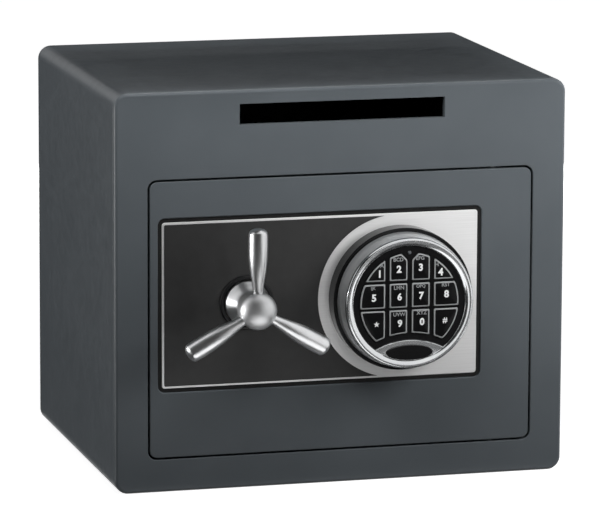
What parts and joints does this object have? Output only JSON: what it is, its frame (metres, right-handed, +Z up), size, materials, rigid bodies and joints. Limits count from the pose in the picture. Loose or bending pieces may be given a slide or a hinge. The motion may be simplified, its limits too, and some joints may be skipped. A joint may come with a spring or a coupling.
{
  "type": "deposit safe",
  "caption": "Steel deposit safe with an open slot above a hinged door, a spoked handle that throws the bolts, and a round keypad.",
  "frame": {"origin": "centre of the cabinet's underside", "axes": "+Z up, -Y out of the front face towards the user, +X to the right as the user sees it"},
  "size_m": [0.347, 0.31, 0.3],
  "materials": {
    "charcoal_paint": "satin charcoal powder coat",
    "inner_paint": "matt dark grey coat",
    "brushed_plate": "fine horizontal brushing",
    "black_satin": "satin black film",
    "chrome": "polished",
    "zinc_steel": "bright zinc plate",
    "black_plastic": "semi-gloss black",
    "key_black": "smooth black with pale outlines and numbers",
    "silicone_rubber": "matt",
    "circuit_board": "solder mask green",
    "led_lens": "clear grey lens",
    "plug_rubber": "matt black",
    "mat_felt": "needled felt",
    "lock_casting": "cast, lightly blasted",
    "battery_wrap": "plain dark wrap"
  },
  "bodies": {
    "cabinet": {"cabinet_shell": "charcoal_paint", "back_plate": "charcoal_paint", "front_frame": "charcoal_paint", "deposit_chute": "inner_paint", "chute_baffle": "inner_paint", "floor_mat": "mat_felt", "anchor_plug_left": "plug_rubber", "anchor_plug_right": "plug_rubber", "hinge_bracket_top": "zinc_steel", "hinge_bracket_bottom": "zinc_steel", "hinge_pin_top": "zinc_steel", "hinge_pin_bottom": "zinc_steel", "keeper_bar": "zinc_steel"},
    "door": {"hinge_knuckle_top": "zinc_steel", "hinge_knuckle_bottom": "zinc_steel", "door_plate": "charcoal_paint", "door_pan": "inner_paint", "pan_screw_1": "zinc_steel", "pan_screw_2": "zinc_steel", "pan_screw_3": "zinc_steel", "pan_screw_4": "zinc_steel", "control_panel": "brushed_plate", "panel_overlay": "black_satin", "dog_bar": "zinc_steel", "bolt_guide": "zinc_steel", "lock_case": "lock_casting", "lock_cover": "zinc_steel", "lock_solenoid": "zinc_steel", "battery_pack": "battery_wrap", "handle_escutcheon": "black_plastic", "keypad_base": "black_plastic", "keypad_housing": "chrome", "keypad_face": "black_plastic", "keypad_badge": "black_plastic", "keypad_led": "led_lens", "keypad_membrane": "silicone_rubber", "keypad_board": "circuit_board"},
    "handle": {"handle_hub": "chrome", "handle_spoke_1": "chrome", "handle_spoke_2": "chrome", "handle_spoke_3": "chrome", "handle_spindle": "zinc_steel", "handle_crank": "zinc_steel"},
    "bolt_carriage": {"bolt_carriage": "zinc_steel", "locking_bolt_top": "chrome", "locking_bolt_bottom": "chrome"},
    "swing_bolt": {"swing_bolt": "chrome"},
    "key_1": {"key_1": "key_black"},
    "key_2": {"key_2": "key_black"},
    "key_3": {"key_3": "key_black"},
    "key_4": {"key_4": "key_black"},
    "key_5": {"key_5": "key_black"},
    "key_6": {"key_6": "key_black"},
    "key_7": {"key_7": "key_black"},
    "key_8": {"key_8": "key_black"},
    "key_star": {"key_star": "key_black"},
    "key_9": {"key_9": "key_black"},
    "key_0": {"key_0": "key_black"},
    "key_hash": {"key_hash": "key_black"}
  },
  "joints": [
    {"name": "door_hinge", "type": "hinge", "parent": "cabinet", "child": "door", "pos_m": [0.119, -0.1235, 0.12995], "axis": [0, 0, 1], "range_deg": [0, 100]},
    {"name": "handle_turn", "type": "hinge", "parent": "door", "child": "handle", "pos_m": [-0.0735, -0.1325, 0.14075], "axis": [0, -1, 0], "range_deg": [0, 75]},
    {"name": "bolt_throw", "type": "slide", "parent": "door", "child": "bolt_carriage", "axis": [-1, 0, 0], "range_m": [0, 0.0195]},
    {"name": "swing_bolt_turn", "type": "hinge", "parent": "door", "child": "swing_bolt", "pos_m": [-0.018, -0.1145, 0.1406], "axis": [0, -1, 0], "range_deg": [0, 60]},
    {"name": "key_1_press", "type": "slide", "parent": "door", "child": "key_1", "axis": [0, 1, 0], "range_m": [0, 0.0008], "stiffness_N_per_m": 600},
    {"name": "key_2_press", "type": "slide", "parent": "door", "child": "key_2", "axis": [0, 1, 0], "range_m": [0, 0.0008], "stiffness_N_per_m": 600},
    {"name": "key_3_press", "type": "slide", "parent": "door", "child": "key_3", "axis": [0, 1, 0], "range_m": [0, 0.0008], "stiffness_N_per_m": 600},
    {"name": "key_4_press", "type": "slide", "parent": "door", "child": "key_4", "axis": [0, 1, 0], "range_m": [0, 0.0008], "stiffness_N_per_m": 600},
    {"name": "key_5_press", "type": "slide", "parent": "door", "child": "key_5", "axis": [0, 1, 0], "range_m": [0, 0.0008], "stiffness_N_per_m": 600},
    {"name": "key_6_press", "type": "slide", "parent": "door", "child": "key_6", "axis": [0, 1, 0], "range_m": [0, 0.0008], "stiffness_N_per_m": 600},
    {"name": "key_7_press", "type": "slide", "parent": "door", "child": "key_7", "axis": [0, 1, 0], "range_m": [0, 0.0008], "stiffness_N_per_m": 600},
    {"name": "key_8_press", "type": "slide", "parent": "door", "child": "key_8", "axis": [0, 1, 0], "range_m": [0, 0.0008], "stiffness_N_per_m": 600},
    {"name": "key_star_press", "type": "slide", "parent": "door", "child": "key_star", "axis": [0, 1, 0], "range_m": [0, 0.0008], "stiffness_N_per_m": 600},
    {"name": "key_9_press", "type": "slide", "parent": "door", "child": "key_9", "axis": [0, 1, 0], "range_m": [0, 0.0008], "stiffness_N_per_m": 600},
    {"name": "key_0_press", "type": "slide", "parent": "door", "child": "key_0", "axis": [0, 1, 0], "range_m": [0, 0.0008], "stiffness_N_per_m": 600},
    {"name": "key_hash_press", "type": "slide", "parent": "door", "child": "key_hash", "axis": [0, 1, 0], "range_m": [0, 0.0008], "stiffness_N_per_m": 600}
  ],
  "couplings": [
    {"joint": "bolt_throw", "follows": "handle_turn", "m_per_rad": 0.014882},
    {"joint": "swing_bolt_turn", "follows": "handle_turn", "ratio": 0.799}
  ]
}
